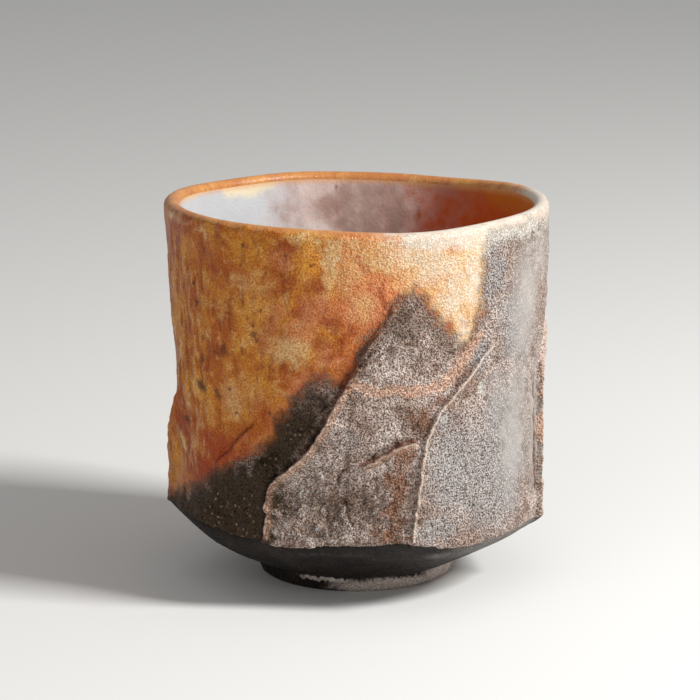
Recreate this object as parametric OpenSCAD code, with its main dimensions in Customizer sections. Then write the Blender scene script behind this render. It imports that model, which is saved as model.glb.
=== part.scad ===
// Yunomi tea cup: a thrown stoneware body with wire-cut facets that lean to the right as
// they climb and end in torn ridges, a foot ring luted on, a liner glaze inside, and outside
// a glaze on the flame side that meets a crust of wood ash. Millimetres, +Z up, with the
// origin on the table at the middle of the cup's outline. -Y is the front.

/* [Cup] */
// Width of the round wall just under the lip
cup_w = 84.6; // [76:0.2:94]
// Height of the lip at its highest point
cup_h = 84.2; // [72:0.2:100]
// How far the lip drops from its highest point to its lowest
rim_dip = 1.7; // [0:0.1:3]
// Mean height of the shoulder, where the wall meets the cut underside
shoulder_h = 14.8; // [12.5:0.1:20]
// How far the shoulder rises and falls round the cup
shoulder_wave = 1.4; // [0:0.1:1.4]
// How much smaller the wall's radius is at the shoulder than at the lip
wall_taper = 0.7; // [0:0.1:2]
// How far the wall draws in at half height
waist = 0.6; // [0:0.1:1.5]

/* [Wall] */
// Thickness of the round lip, coats included
lip_t = 3.2; // [2.6:0.1:4.2]
// Thickness of the wall at the foot of the well, before the facets were cut
base_wall_t = 8.5; // [7.5:0.1:10]
// Thickness of the clay floor over the foot recess
floor_t = 4.8; // [4:0.1:6.5]
// Radius of the curve from the inner wall to the floor
well_r = 14; // [10:0.5:16]

/* [Facets] */
// How flat the facets are at the shoulder: 0 is round, 1 is flat
facet_flat = 0.9; // [0:0.05:1]
// Height of the tallest torn ridge above the round wall
ridge_h = 0.9; // [0.2:0.1:1.4]
// Width over which a ridge's crest falls back to the facet
ridge_w = 3; // [1.5:0.1:5]
// How far a facet is cut in where it ends under the next ridge
undercut = 0.7; // [0:0.1:1.2]
// Width of the torn cliff on a ridge's left side
cliff_w = 0.7; // [0.4:0.1:1.2]
// Width of the rounded edge under the shoulder
edge_w = 3; // [2:0.1:4]
// Drop of the rounded edge under the shoulder
edge_drop = 2.6; // [1.6:0.1:3.4]

/* [Foot] */
// Diameter of the foot ring where it is luted to the body
foot_d = 44.5; // [38:0.5:48]
// Height of the foot ring
foot_h = 3.4; // [2.4:0.1:4.5]
// Width of the foot ring's top
foot_ring_w = 4.6; // [3.6:0.1:5.5]
// How far the foot ring's outer side draws in towards the table
foot_draft = 0.8; // [0:0.1:1.2]
// Size of the foot ring's worn lower edges
foot_edge = 0.7; // [0.3:0.1:1]
// Depth carved out of the floor inside the foot ring
recess_depth = 1.6; // [1.2:0.1:2.4]
// Slope of the recess's side, as the width that it takes
recess_slope = 0.9; // [0.4:0.1:1.5]

/* [Coats] */
// Thickness of the glazes and of the ash crust
coat_t = 0.4; // [0.25:0.05:0.7]

/* [Hidden] */
$fn = 96;

// One row for each facet, in turn round the cup from the front left: its left ridge's angle
// at the shoulder, the degrees that the ridge leans over the whole wall, the share of the
// wall's height at which it has faded out, its share of the ridge height and its share of
// the flatness.
facet_shares = [
    [240.8, 51, 0.80, 0.9, 1.0],
    [285.7, 57, 0.72, 1.0, 0.3],
    [344.5, 60, 0.76, 1.0, 0.5],
    [406.0, 50, 0.68, 0.7, 1.0],
    [470.0, 54, 0.64, 0.8, 0.9],
    [541.0, 45, 0.50, 1.0, 0.4],
];
// Each ridge's course: the share of the wall's height, and the share of its lean there
course_shares = [
    [[0, 0], [0.17, 0.03], [0.23, 0.1], [0.29, 0.25], [0.36, 0.34], [0.64, 0.6], [1, 1]],
    [[0, 0], [0.3, 0.06], [0.42, 0.13], [0.48, 0.23], [0.59, 0.42], [0.64, 0.53], [1, 1]],
    [[0, 0], [0.52, 0.03], [0.62, 0.2], [0.8, 0.6], [1, 1]],
    [[0, 0], [0.3, 0.05], [0.4, 0.25], [0.7, 0.55], [1, 1]],
    [[0, 0], [0.22, 0.04], [0.36, 0.3], [0.6, 0.6], [1, 1]],
    [[0, 0], [0.2, 0.03], [0.3, 0.2], [0.5, 0.5], [1, 1]],
];
// Where the columns of points stand across one facet, from its left ridge to the next ridge
stop_shares = [0, 0.02, 0.05, 0.12, 0.24, 0.38, 0.52, 0.66, 0.79, 0.89, 0.96, 1];
// The upper edge of the ash crust: the count of facets round the cup, and the share of the
// wall's height there
ash_edge_shares = [
    [0, 0.55], [0.05, 0.62], [0.12, 0.74], [0.24, 0.8], [0.38, 0.75], [0.52, 0.7],
    [0.66, 0.68], [0.79, 0.8], [0.89, 0.88], [1, 0.92], [2, 0.92], [3, 0.8], [4, 0.4],
    [4.5, 0.16], [5, 0.06], [5.24, 0.09], [5.52, 0.17], [5.66, 0.24], [5.79, 0.39],
    [5.89, 0.5], [6, 0.55],
];
// The lip's drop: the angle round the cup, and the share of the deepest drop there
rim_drop_shares = [
    [0, 0.05], [24, 0.15], [36, 0.45], [50, 0.85], [62, 1], [78, 0.85], [98, 0.7],
    [112, 0.45], [130, 0.6], [145, 0.5], [160, 0.15], [180, 0], [250, 0.05], [270, 0.25],
    [287, 0.65], [304, 0.35], [320, 0.1], [360, 0.05],
];
// The shoulder's rise, which is highest at the ridges' feet: the angle round the cup, and the
// share of the wave there
shoulder_shares = [
    [0, -0.2], [30, 0], [46, 0.4], [56, -0.3], [85, -0.2], [108, 0.5], [118, -0.1], [150, 0.3],
    [175, 0.6], [190, 0.72], [211, 0.65], [229, 0.4], [236, 0.5], [241, 0.75], [245.5, -0.2],
    [250, -0.24], [259, 0], [268, 0.25], [277, 0.57], [283, 0.85], [286, 1], [291.5, 0.05],
    [297.5, -0.85], [306, -0.95], [318, -0.85], [327, -0.64], [339, -0.38], [345, -0.4],
    [360, -0.2],
];
facet_count = len(facet_shares);
stops = len(stop_shares);
columns = facet_count * stops;

lip_hold_share = 0.04;     // how much of the facets' flatness is left at the lip
flat_fade_share = 0.85;    // the share of the height over which the flatness fades
undercut_power = 6;        // how late a facet dives under the next ridge
ridge_fade_share = 0.25;   // the share of the height over which a ridge fades out
course_blend_share = 0.03; // the share of the height over which a ridge's bends blend

ash_rows = 14;   // rows of faces on the ash crust
flame_rows = 10; // rows of faces on the flame-side glaze, below the lip
lip_rows = 6;    // rows of faces over the lip
well_rows = 6;   // rows of faces down the inner wall
curve_rows = 5;  // rows of faces round the curve to the floor

lip_r = lip_t / 2;
foot_r = foot_d / 2;
foot_inner_r = foot_r - foot_ring_w;
recess_z = foot_h + recess_depth;
well_floor_z = recess_z + floor_t + coat_t;
well_wall_r = cup_w / 2 - wall_taper - base_wall_t;
well_curve_z = well_floor_z + well_r;

// A soft step from 0 to 1, and the value between two others
function soft(x) = let (t = min(max(x, 0), 1)) t * t * (3 - 2 * t);
function mix(a, b, t) = a + (b - a) * t;

// The facet that a column stands on, and how far across it the column is
function facet_of(c) = floor(c / stops);
function across(c) = stop_shares[c % stops];

// A ridge's angle and strength at a share of the wall's height; the ridge after the last
// one is the first one again
function course(k, h) = (lookup(h - course_blend_share, course_shares[k])
    + lookup(h, course_shares[k])
    + lookup(h + course_blend_share, course_shares[k])) / 3;
function ridge_angle(i, h) = let (k = i % facet_count)
    facet_shares[k][0] + (i < facet_count ? 0 : 360) + facet_shares[k][1] * course(k, h);
function ridge_strength(i, h) = let (f = facet_shares[i % facet_count])
    f[3] * (1 - soft((h - f[2] + ridge_fade_share) / ridge_fade_share));

// A column's angle: the torn cliff takes a little of it on either side of each ridge
cliff_angle = cliff_w / (cup_w / 2) * 180 / PI;
function angle(c, h) = let (i = facet_of(c)) mix(
    ridge_angle(i, h) + cliff_angle / 2,
    ridge_angle(i + 1, h) - cliff_angle / 2,
    across(c));

// The round wall's radius, and the facets and ridges cut into it
function round_r(h) = cup_w / 2 - wall_taper * (1 - h) - waist * sin(180 * h);
function flat_hold(h) = facet_flat * mix(1, lip_hold_share, soft(h / flat_fade_share));
function facet_arc(i, h) = ridge_angle(i + 1, h) - ridge_angle(i, h);
function outer_r(c, h) = let (
    i = facet_of(c),
    u = across(c),
    arc = facet_arc(i, h),
    flat_depth = round_r(h) * (1 - cos(arc / 2)),
    run = u * arc * PI / 180 * round_r(h))
    round_r(h)
    - flat_depth * facet_shares[i][4] * flat_hold(h) * 4 * u * (1 - u)
    - undercut * ridge_strength(i + 1, h) * pow(u, undercut_power)
    + ridge_h * ridge_strength(i, h) * exp(-pow(run / ridge_w, 2));

// Heights: the lip's top, the wall's foot, and a share of the way between
function rim_z(a) = cup_h - rim_dip * lookup(a % 360, rim_drop_shares);
function shoulder_z(a) = shoulder_h + shoulder_wave * lookup(a % 360, shoulder_shares);
function wall_z(c, h) = mix(shoulder_z(angle(c, 0)), rim_z(angle(c, 1)) - lip_r, h);
function ash_edge(c) = lookup(facet_of(c) + across(c), ash_edge_shares);

// The whole cup is drawn about the middle of its widest outline
outline = [for (h = [0 : 1 / ash_rows : 1]) for (c = [0 : columns - 1])
    outer_r(c, h) * [cos(angle(c, h)), sin(angle(c, h))]];
middle = [for (k = [0, 1])
    (max([for (p = outline) p[k]]) + min([for (p = outline) p[k]])) / 2];
function at(r, a, z) = [r * cos(a) - middle[0], r * sin(a) - middle[1], z];

// Loops of points round the cup; deep is how far a loop lies below the finished surface
function wall_loop(deep, h_of) = [for (c = [0 : columns - 1]) let (h = h_of(c))
    at(outer_r(c, h) - deep, angle(c, h), wall_z(c, h))];
function lip_loop(deep, turn) = [for (c = [0 : columns - 1])
    at(outer_r(c, 1) - lip_r + (lip_r - deep) * cos(turn), angle(c, 1),
        wall_z(c, 1) + (lip_r - deep) * sin(turn))];
function well_loop(deep, share) = [for (c = [0 : columns - 1])
    at(mix(outer_r(c, 1) - lip_t, well_wall_r, share) + deep, angle(c, 1),
        mix(wall_z(c, 1), well_curve_z, share))];
function curve_loop(deep, turn) = [for (c = [0 : columns - 1])
    at(well_wall_r - well_r + (well_r + deep) * cos(turn), angle(c, 1),
        well_curve_z - (well_r + deep) * sin(turn))];
function edge_loop() = [for (c = [0 : columns - 1])
    at(outer_r(c, 0) - coat_t - edge_w, angle(c, 0), wall_z(c, 0) - edge_drop)];
function flat_loop(r, z) = [for (c = [0 : columns - 1]) at(r, angle(c, 0), z)];

// The skins that the clay and its coats share, as runs of loops
function ash_skin(deep) = [for (k = [0 : ash_rows])
    wall_loop(deep, function(c) ash_edge(c) * k / ash_rows)];
function flame_skin(deep) = concat(
    [for (k = [0 : flame_rows])
        wall_loop(deep, function(c) mix(ash_edge(c), 1, k / flame_rows))],
    [for (k = [1 : lip_rows]) lip_loop(deep, 180 * k / lip_rows)]);
function well_skin(deep) = concat(
    [for (k = [1 : well_rows]) well_loop(deep, k / well_rows)],
    [for (k = [1 : curve_rows]) curve_loop(deep, 90 * k / curve_rows)]);
function liner_skin(deep) = concat([lip_loop(deep, 180)], well_skin(deep));
function without_first(loops) = [for (k = [1 : len(loops) - 1]) loops[k]];

// Faces between neighbouring loops, always split along the diagonal that falls to the right,
// which is the short one where the columns lean
function band(first, second) = [for (c = [0 : columns - 1]) let (n = (c + 1) % columns)
    each [
        [first + c, second + c, first + n],
        [second + c, second + n, first + n]]];
function turned(faces) = [for (f = faces) [f[2], f[1], f[0]]];
function bands(loops, start) = [for (k = [0 : len(loops) - 2])
    each band(start + k * columns, start + (k + 1) * columns)];
function fan(first, tip) = [for (c = [0 : columns - 1])
    [tip, first + c, first + (c + 1) % columns]];
function flat_points(loops) = [for (l = loops) each l];
function hub(loop) = [for (k = [0 : 2]) [for (p = loop) p[k]] * [for (p = loop) 1] / columns];

// A closed solid from one run of loops, with a hub at either end
module turned_solid(loops) {
    last = (len(loops) - 1) * columns;
    tips = len(loops) * columns;
    polyhedron(
        points = concat(flat_points(loops), [hub(loops[0]), hub(loops[len(loops) - 1])]),
        faces = concat(
            bands(loops, 0),
            fan(0, tips),
            turned(fan(last, tips + 1))));
}

// A coat between two skins that have the same loops, open in the middle
module ring_coat(outer, inner) {
    start = len(outer) * columns;
    last = (len(outer) - 1) * columns;
    polyhedron(
        points = flat_points(concat(outer, inner)),
        faces = concat(
            bands(outer, 0),
            turned(bands(inner, start)),
            turned(band(0, start)),
            band(last, start + last)));
}

// A coat that also covers the floor, so that each skin ends in a hub
module bowl_coat(outer, inner) {
    start = len(outer) * columns;
    last = (len(outer) - 1) * columns;
    tips = 2 * start;
    polyhedron(
        points = concat(
            flat_points(concat(outer, inner)),
            [hub(outer[len(outer) - 1]), hub(inner[len(inner) - 1])]),
        faces = concat(
            bands(outer, 0),
            turned(bands(inner, start)),
            turned(band(0, start)),
            turned(fan(last, tips)),
            fan(start + last, tips + 1)));
}

// The clay: recess, foot seat, cut underside, faceted wall, lip, inner wall and floor
module thrown_body() {
    underside = [
        flat_loop(foot_inner_r - recess_slope, recess_z),
        flat_loop(foot_inner_r, foot_h),
        flat_loop(foot_r, foot_h),
        edge_loop(),
    ];
    color("sienna") turned_solid(concat(
        underside,
        ash_skin(coat_t),
        without_first(flame_skin(coat_t)),
        well_skin(coat_t)));
}

// The ring that the cup stands on, turned from a coil
module foot_ring() {
    base_r = foot_r - foot_draft;
    color("saddlebrown") translate([-middle[0], -middle[1], 0]) rotate_extrude() polygon([
        [foot_inner_r, foot_h],
        [foot_inner_r, foot_edge],
        [foot_inner_r + foot_edge, 0],
        [base_r - foot_edge, 0],
        [base_r, foot_edge],
        [foot_r, foot_h],
    ]);
}

// The pale glaze poured inside
module liner_glaze() {
    color("gainsboro") bowl_coat(liner_skin(0), liner_skin(coat_t));
}

// The warm glaze on the side that faced the flame, carried over the lip
module flame_side_glaze() {
    color("darkgoldenrod") ring_coat(flame_skin(0), flame_skin(coat_t));
}

// The grey crust of wood ash on the lower wall and the far side
module ash_crust() {
    color("dimgray") ring_coat(ash_skin(0), ash_skin(coat_t));
}

thrown_body();
foot_ring();
liner_glaze();
flame_side_glaze();
ash_crust();
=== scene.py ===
"""A yunomi tea cup of coarse stoneware: thrown round, cut in leaning facets with torn ridges,
trimmed to a low foot, and fired in wood ash. Lengths are millimetres until a mesh is written.
Angles are degrees round the cup's axis, seen from above; 270 faces the camera."""
import math

import bpy
import numpy as np
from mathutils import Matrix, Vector, noise


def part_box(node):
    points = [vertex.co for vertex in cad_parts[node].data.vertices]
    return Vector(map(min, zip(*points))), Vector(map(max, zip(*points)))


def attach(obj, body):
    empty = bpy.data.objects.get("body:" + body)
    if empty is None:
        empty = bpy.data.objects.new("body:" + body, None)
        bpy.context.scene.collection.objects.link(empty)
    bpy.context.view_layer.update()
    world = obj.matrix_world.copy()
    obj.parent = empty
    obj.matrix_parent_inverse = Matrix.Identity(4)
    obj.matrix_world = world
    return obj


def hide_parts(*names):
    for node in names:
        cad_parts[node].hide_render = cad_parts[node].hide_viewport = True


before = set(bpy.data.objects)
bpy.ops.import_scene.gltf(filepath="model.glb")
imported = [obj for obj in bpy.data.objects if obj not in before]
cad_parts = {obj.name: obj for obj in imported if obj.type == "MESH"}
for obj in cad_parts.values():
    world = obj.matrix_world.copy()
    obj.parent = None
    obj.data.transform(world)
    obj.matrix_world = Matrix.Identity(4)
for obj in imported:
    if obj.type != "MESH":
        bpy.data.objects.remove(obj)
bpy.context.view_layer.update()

# --- The cup's sizes, as in the part's source ---

MM = 0.001
CUP_W, CUP_H = 84.6, 84.2
RIM_DIP = 1.7
SHOULDER_H, SHOULDER_WAVE = 14.8, 1.4
WALL_TAPER, WAIST = 0.7, 0.6
LIP_T, BASE_WALL_T, FLOOR_T, WELL_R = 3.2, 8.5, 4.8, 14.0
FACET_FLAT, LIP_HOLD, FLAT_FADE = 0.9, 0.04, 0.85
RIDGE_H, RIDGE_W, RIDGE_FADE = 0.9, 3.0, 0.25
UNDERCUT, UNDERCUT_POWER, CLIFF_W = 0.7, 6, 0.8
EDGE_W, EDGE_DROP = 3.0, 2.6
FOOT_D, FOOT_H, FOOT_RING_W, FOOT_DRAFT, FOOT_EDGE = 44.5, 3.4, 4.6, 0.8, 0.7
RECESS_DEPTH, RECESS_SLOPE = 1.6, 0.9
COAT_T = 0.4
COURSE_BLEND = 0.03

LIP_R = LIP_T / 2
FOOT_R = FOOT_D / 2
FOOT_INNER_R = FOOT_R - FOOT_RING_W
RECESS_Z = FOOT_H + RECESS_DEPTH
WELL_FLOOR_Z = RECESS_Z + FLOOR_T + COAT_T
WELL_WALL_R = CUP_W / 2 - WALL_TAPER - BASE_WALL_T
WELL_CURVE_Z = WELL_FLOOR_Z + WELL_R
WALL_TOP = CUP_H - LIP_R

# Each facet's left ridge: its angle at the shoulder, its lean, the share of the height where
# it has faded out, and its shares of the ridge height and of the flatness
FACETS = [
    (240.8, 51, 0.80, 0.9, 1.0),
    (285.7, 57, 0.72, 1.0, 0.3),
    (344.5, 60, 0.76, 1.0, 0.5),
    (406.0, 50, 0.68, 0.7, 1.0),
    (470.0, 54, 0.64, 0.8, 0.9),
    (541.0, 45, 0.50, 1.0, 0.4),
]
RIDGE_ANGLES, LEANS, FADED_AT, RIDGE_SHARES, FLATNESS = zip(*FACETS)
# Each ridge's course: the share of the wall's height, and the share of the lean there
COURSES = [
    [(0, 0), (0.17, 0.03), (0.23, 0.1), (0.29, 0.25), (0.36, 0.34), (0.64, 0.6), (1, 1)],
    [(0, 0), (0.3, 0.06), (0.42, 0.13), (0.48, 0.23), (0.59, 0.42), (0.64, 0.53), (1, 1)],
    [(0, 0), (0.52, 0.03), (0.62, 0.2), (0.8, 0.6), (1, 1)],
    [(0, 0), (0.3, 0.05), (0.4, 0.25), (0.7, 0.55), (1, 1)],
    [(0, 0), (0.22, 0.04), (0.36, 0.3), (0.6, 0.6), (1, 1)],
    [(0, 0), (0.2, 0.03), (0.3, 0.2), (0.5, 0.5), (1, 1)],
]
# The seam between the ash crust and the flame-side glaze, by count of facets round the cup
ASH_EDGE = [
    (0, 0.55), (0.05, 0.62), (0.12, 0.74), (0.24, 0.8), (0.38, 0.75), (0.52, 0.7), (0.66, 0.68),
    (0.79, 0.8), (0.89, 0.88), (1, 0.92), (2, 0.92), (3, 0.8), (4, 0.4), (4.5, 0.16), (5, 0.06),
    (5.24, 0.09), (5.52, 0.17), (5.66, 0.24), (5.79, 0.39), (5.89, 0.5), (6, 0.55),
]
# The shoulder's rise, highest at the ridges' feet: the angle, and the share of the wave
SHOULDER_RISE = [
    (0, -0.2), (30, 0), (46, 0.4), (56, -0.3), (85, -0.2), (108, 0.5), (118, -0.1), (150, 0.3),
    (175, 0.6), (190, 0.72), (211, 0.65), (229, 0.4), (236, 0.5), (241, 0.75), (245.5, -0.2),
    (250, -0.24), (259, 0), (268, 0.25), (277, 0.57), (283, 0.85), (286, 1), (291.5, 0.05),
    (297.5, -0.85), (306, -0.95), (318, -0.85), (327, -0.64), (339, -0.38), (345, -0.4),
    (360, -0.2),
]
# The lip's drop: the angle, and the share of the deepest drop
RIM_DROP = [
    (0, 0.05), (24, 0.15), (36, 0.45), (50, 0.85), (62, 1), (78, 0.85), (98, 0.7), (112, 0.45),
    (130, 0.6), (145, 0.5), (160, 0.15), (180, 0), (250, 0.05), (270, 0.25), (287, 0.65),
    (304, 0.35), (320, 0.1), (360, 0.05),
]

foot_low, foot_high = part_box("foot_ring")
AXIS = np.array((foot_low + foot_high) / 2)[:2] / MM

# --- Shape of the cut cup ---


def mix(a, b, t):
    return a + (b - a) * t


def soft(x):
    """A soft step from 0 to 1."""
    t = np.clip(x, 0, 1)
    return t * t * (3 - 2 * t)


def hump(x, half):
    """1 at 0, falling off softly on both sides."""
    return np.exp(-(x / half) ** 2)


def lookup(x, table):
    columns = list(zip(*table))
    return np.interp(x, columns[0], columns[1])


# How a torn ridge wanders and how its height breaks up, for each ridge, sampled up the wall
WANDER_STEPS = np.linspace(0, 1, 241)


def torn(ridge, size, salt):
    """Uneven values between about -1 and 1 up one ridge; size is in millimetres."""
    wall = WALL_TOP - SHOULDER_H
    return np.array([noise.noise(Vector((h * wall / size, ridge * 9.7, salt)))
                     for h in WANDER_STEPS])


RAGGED = [1.2, 1, 0.25, 1, 1, 0.3]  # how roughly each ridge is torn
OVERHANG = [0.8, 0.25, 0.6, 1, 1, 1]  # each ridge's share of the undercut beside it
WANDER = [rough * (0.35 * torn(k, 5, 1.5) + 0.3 * torn(k, 1.5, 4.5))
          for k, rough in enumerate(RAGGED)]
BREAKS = [1 + rough * (0.5 * torn(k, 7, 8.5) + 0.6 * torn(k, 1.5, 2.5))
          for k, rough in enumerate(RAGGED)]


def course(k, h):
    return sum(lookup(h + s, COURSES[k]) for s in (-COURSE_BLEND, 0, COURSE_BLEND)) / 3


def each_ridge(ridge, h, value):
    """Fills an array by ridge number: value(k, heights) gives ridge k's own points."""
    out = np.zeros(len(ridge))
    for k in range(len(FACETS)):
        chosen = ridge % len(FACETS) == k
        out[chosen] = value(k, h[chosen])
    return out


def of_ridge(ridge, values):
    """The value that each ridge has, by ridge number."""
    return np.array(values, float)[ridge % len(FACETS)]


def ridge_strength(ridge, h):
    return of_ridge(ridge, RIDGE_SHARES) * (
        1 - soft((h - of_ridge(ridge, FADED_AT) + RIDGE_FADE) / RIDGE_FADE))


def ridge_angle(ridge, h):
    leaned = of_ridge(ridge, LEANS) * each_ridge(ridge, h, course)
    straight = of_ridge(ridge, RIDGE_ANGLES) + leaned
    wander = each_ridge(ridge, h, lambda k, up: np.interp(up, WANDER_STEPS, WANDER[k]))
    strength = ridge_strength(ridge, h)
    return (straight + np.degrees(wander * strength / (CUP_W / 2))
            + np.where(ridge < len(FACETS), 0, 360))


def ridge_breaks(ridge, h):
    return each_ridge(ridge, h, lambda k, up: np.interp(up, WANDER_STEPS, BREAKS[k]))


CLIFF_ANGLE = math.degrees(CLIFF_W / (CUP_W / 2))
FACE_SHARE = 0.93    # of a facet's columns; the torn cliff to its right has the rest
EDGE_CROWDING = 0.6  # how far a facet's columns crowd towards its ridges


def across(count):
    """Facet number, place across the facet, and place across the cliff to its right."""
    facet = np.floor(count).astype(int)
    share = count - facet
    flat = np.clip(share / FACE_SHARE, 0, 1)
    return facet, mix(flat, soft(flat), EDGE_CROWDING), np.clip(
        (share - FACE_SHARE) / (1 - FACE_SHARE), 0, 1)


def column_angle(count, h):
    facet, u, cliff = across(count)
    first, second = ridge_angle(facet, h), ridge_angle(facet + 1, h)
    return mix(first + CLIFF_ANGLE / 2, second - CLIFF_ANGLE / 2, u) + CLIFF_ANGLE * cliff


def facet_r(facet, u, h):
    """The wall's radius on a facet, from its left ridge at 0 to the next one at 1."""
    arc = np.radians(ridge_angle(facet + 1, h) - ridge_angle(facet, h))
    round_r = CUP_W / 2 - WALL_TAPER * (1 - h) - WAIST * np.sin(np.pi * h)
    hold = FACET_FLAT * mix(1, LIP_HOLD, soft(h / FLAT_FADE))
    flatness = of_ridge(facet, FLATNESS)
    cut = round_r * (1 - np.cos(arc / 2)) * flatness * hold * 4 * u * (1 - u)
    dive = (UNDERCUT * of_ridge(facet + 1, OVERHANG) * ridge_strength(facet + 1, h)
            * u ** UNDERCUT_POWER)
    crest = (RIDGE_H * ridge_strength(facet, h) * ridge_breaks(facet, h)
             * hump(u * arc * round_r, RIDGE_W))
    return round_r - cut - dive + crest


CLIFF_NOTCH = 0.25  # how deep the crack at a cliff's foot is
CLIFF_LEDGE = 0.15  # the share of a cliff's width that is level at its foot, and at its top


def wall_r(count, h):
    facet, u, cliff = across(count)
    here = facet_r(facet, u, h)
    above = facet_r(facet + 1, np.zeros(len(u)), h)
    notch = CLIFF_NOTCH * of_ridge(facet + 1, OVERHANG) * np.sin(np.pi * cliff) * (1 - cliff)
    return mix(here, above, soft(cliff * (1 + 2 * CLIFF_LEDGE) - CLIFF_LEDGE)) - (
        notch * ridge_strength(facet + 1, h))


def rim_z(angle):
    """The lip's height; the table's corners are rounded by taking it at several angles."""
    drops = [lookup((angle + turn) % 360, RIM_DROP) for turn in (-9, -6, -3, 0, 3, 6, 9)]
    return CUP_H - RIM_DIP * sum(drops) / len(drops)


def shoulder_z(angle):
    rises = [lookup((angle + turn) % 360, SHOULDER_RISE) for turn in (-2, -1, 0, 1, 2)]
    return SHOULDER_H + SHOULDER_WAVE * sum(rises) / len(rises)


def wall_z(count, h):
    bottom = shoulder_z(column_angle(count, np.zeros(len(count))))
    top = rim_z(column_angle(count, np.ones(len(count)))) - LIP_R
    return mix(bottom, top, h)


# --- Laying out the skin ---
# The cup's skin is laid out as a tall plain tube. Its height counts stations, TUBE_STEP apart:
# -4 the middle of the base, -3 and -2 the foot recess, -1 the foot seat's outer edge,
# 0 the shoulder, 1 the seam between the coats, 2 the top of the wall, 3 the inner side of the
# lip, 4 the foot of the inner wall, 5 the floor and 6 its middle. Its radius is R less the
# depth under the finished skin. Wrapping takes the tube to the cup's real shape.

R = CUP_W / 2
TUBE_STEP = 10.0
SPIN_STEPS, FINE_LEVELS = 180, 2  # each face of the spun tube is split in four each way
SKIN_T = 0.9  # the coats' depth from station DEEP_FROM to DEEP_TO, where scars go deepest
DEEP_FROM, DEEP_TO = 1 / 3, 5 / 3


def start_edit(obj):
    bpy.ops.object.select_all(action="DESELECT")
    obj.select_set(True)
    bpy.context.view_layer.objects.active = obj
    bpy.ops.object.mode_set(mode="EDIT")
    bpy.ops.mesh.select_all(action="SELECT")


def throw(name, outline, closed=True):
    """Draws an outline of (radius, height) by extruding one point, and spins it."""
    bpy.ops.object.select_all(action="DESELECT")
    start = Vector((outline[0][0], 0, outline[0][1])) * MM
    bpy.ops.mesh.primitive_plane_add(size=MM, location=start)
    obj = bpy.context.object
    obj.name = obj.data.name = name
    bpy.ops.object.transform_apply(location=True)
    start_edit(obj)
    bpy.ops.mesh.merge(type="CENTER")
    ends = outline[1:] + outline[:1] if closed else outline[1:]
    for (r0, z0), (r1, z1) in zip(outline, ends):
        step = Vector((r1 - r0, 0, z1 - z0)) * MM
        bpy.ops.mesh.extrude_region_move(TRANSFORM_OT_translate={"value": step})
    bpy.ops.mesh.select_all(action="SELECT")
    bpy.ops.mesh.remove_doubles(threshold=0.001 * MM)
    bpy.ops.mesh.spin(steps=SPIN_STEPS, angle=math.tau, center=(0, 0, 0), axis=(0, 0, 1))
    bpy.ops.mesh.select_all(action="SELECT")
    bpy.ops.mesh.remove_doubles(threshold=0.01 * MM)
    bpy.ops.object.mode_set(mode="OBJECT")
    finer = obj.modifiers.new("finer", "SUBSURF")
    finer.subdivision_type = "SIMPLE"
    finer.levels = finer.render_levels = FINE_LEVELS
    bpy.ops.object.modifier_apply(modifier=finer.name)
    return obj


def section(legs, depth=0.0):
    """Points of a section at one depth; each leg is its first station, its last and its parts."""
    points = []
    for first, last, parts in legs:
        leg = [(R - depth, TUBE_STEP * mix(first, last, k / parts)) for k in range(parts + 1)]
        points += leg[1:] if points else leg
    return points


def points_of(obj):
    co = np.empty(len(obj.data.vertices) * 3)
    obj.data.vertices.foreach_get("co", co)
    return co.reshape(-1, 3) / MM


def put_points(obj, points):
    obj.data.vertices.foreach_set("co", (points * MM).ravel())
    obj.data.update()


def turned(points):
    """Angle, radius and height on a spun form, with the flats between its steps rounded."""
    angle = np.degrees(np.arctan2(points[:, 1], points[:, 0])) % 360
    step = 360 / SPIN_STEPS
    off = np.radians(angle % step - step / 2)
    r = np.hypot(points[:, 0], points[:, 1]) * np.cos(off) / math.cos(math.radians(step / 2))
    return angle, r, points[:, 2]


def round_axis(r, angle, z):
    a = np.radians(angle)
    return np.stack([AXIS[0] + r * np.cos(a), AXIS[1] + r * np.sin(a), z], axis=1)


def ash_seam(count):
    return lookup(count % len(FACETS), ASH_EDGE)


EDGE_ROUND, BEVEL_SHARE = 0.35, 0.8  # how tight the shoulder's round is, and where it starts
KNIFE_SPAN = (-0.15, -0.1, -0.05, 0, 0.05, 0.1, 0.15)  # facets over which the trimming evens out


def underside(count, station, angle):
    """Radius and height under the shoulder, from the middle of the base out to station 0."""
    low = np.zeros(len(count))
    shoulder_r, top = wall_r(count, low) - COAT_T, shoulder_z(angle)
    smoothed_r = sum(wall_r((count + turn) % len(FACETS), low)
                     for turn in KNIFE_SPAN) / len(KNIFE_SPAN)
    bevel_r, bevel_z = smoothed_r - COAT_T - EDGE_W, top - EDGE_DROP
    slope = (bevel_z - FOOT_H) / (bevel_r - FOOT_R)
    turn_r = shoulder_r - EDGE_ROUND
    turn_z = bevel_z + (turn_r - bevel_r) * slope
    s = station + 1
    straight = np.clip(s / BEVEL_SHARE, 0, 1)
    bend = np.clip((s - BEVEL_SHARE) / (1 - BEVEL_SHARE), 0, 1)
    curve = [(1 - bend) ** 2 * a + 2 * bend * (1 - bend) * b + bend ** 2 * c
             for a, b, c in ((bevel_r, turn_r, shoulder_r), (bevel_z, turn_z, top))]
    r = np.where(bend > 0, curve[0], mix(FOOT_R, bevel_r, straight))
    z = np.where(bend > 0, curve[1], mix(FOOT_H, bevel_z, straight))
    base = [(-4, 0), (-3, FOOT_INNER_R - RECESS_SLOPE), (-2, FOOT_INNER_R), (-1, FOOT_R)]
    rise = [(-4, RECESS_Z), (-3, RECESS_Z), (-2, FOOT_H), (-1, FOOT_H)]
    under = station <= -1
    return np.where(under, lookup(station, base), r), np.where(under, lookup(station, rise), z)


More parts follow.
